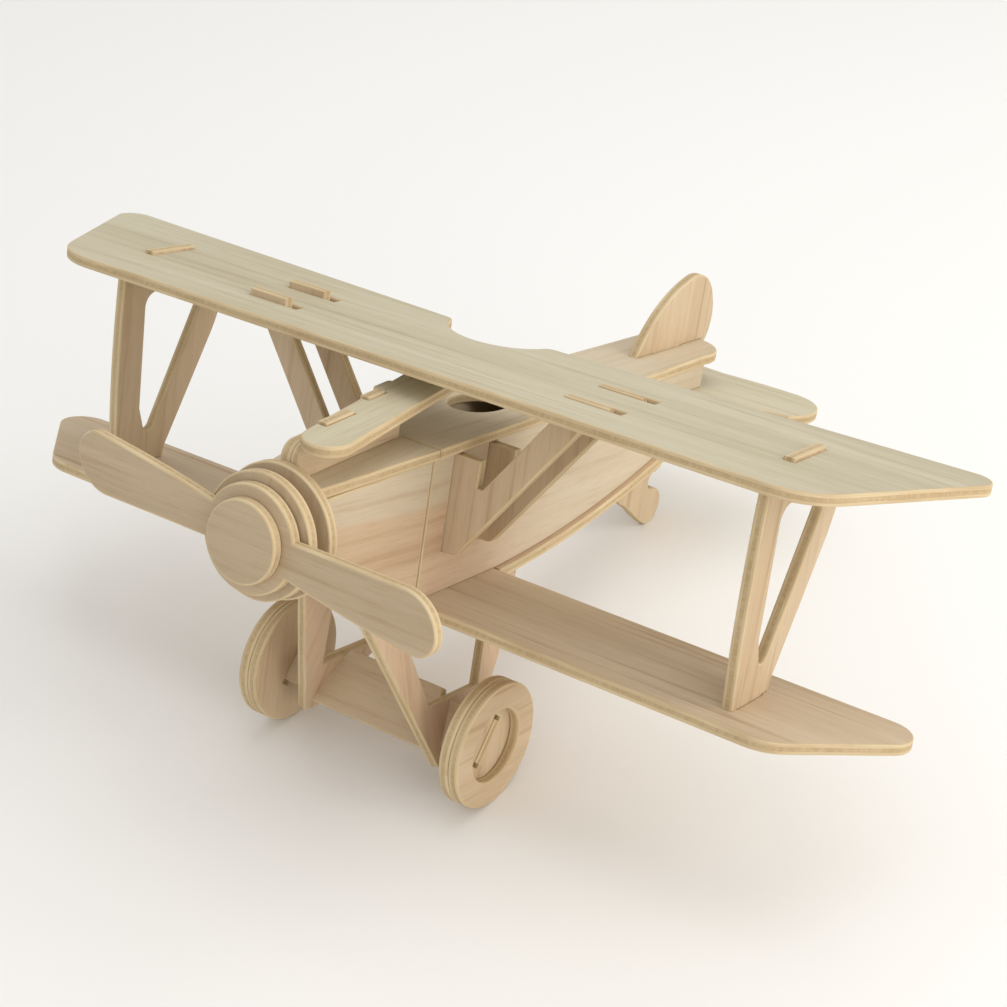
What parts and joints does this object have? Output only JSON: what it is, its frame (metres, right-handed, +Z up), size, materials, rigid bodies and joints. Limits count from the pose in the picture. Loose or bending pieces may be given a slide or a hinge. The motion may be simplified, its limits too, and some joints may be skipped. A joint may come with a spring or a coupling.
{
  "type": "biplane scale model",
  "caption": "Slot-together plywood biplane model standing on fixed wheels and a tail skid, with a propeller that turns on a dowel.",
  "frame": {"origin": "on the floor under the middle of the standing model's bounding box", "axes": "+Z up, +X towards the model's port wing tip, +Y towards its tail; the model stands nose up by 16.8 degrees on wheels and skid"},
  "size_m": [0.2786, 0.2222, 0.1162],
  "materials": {
    "plywood": "raw sanded three-ply sheet",
    "dowel": "raw turned dowel"
  },
  "bodies": {
    "airframe": {"top_wing": "plywood", "bottom_wing": "plywood", "interplane_strut_port": "plywood", "interplane_strut_starboard": "plywood", "cabane_frame_front": "plywood", "cabane_frame_rear": "plywood", "fuselage_side_port": "plywood", "fuselage_side_starboard": "plywood", "main_deck": "plywood", "nose_deck": "plywood", "chin_plate": "plywood", "floor_plate": "plywood", "nose_former": "plywood", "spacer_disc": "plywood", "backing_disc": "plywood", "engine_plate_port": "plywood", "engine_plate_starboard": "plywood", "cowl_plate": "plywood", "tailplane": "plywood", "fin": "plywood", "tail_skid": "plywood", "gear_leg_port": "plywood", "gear_leg_starboard": "plywood", "axle_plate": "plywood", "wheel_hub_port": "plywood", "wheel_hub_starboard": "plywood", "wheel_ring_port": "plywood", "wheel_ring_starboard": "plywood"},
    "propeller_group": {"propeller": "plywood", "spinner_cap": "plywood", "propeller_shaft": "dowel"}
  },
  "joints": [
    {"name": "propeller_spin", "type": "hinge", "parent": "airframe", "child": "propeller_group", "pos_m": [0, -0.10231, 0.09421], "axis": [0, -0.9573, 0.289], "continuous": true}
  ]
}
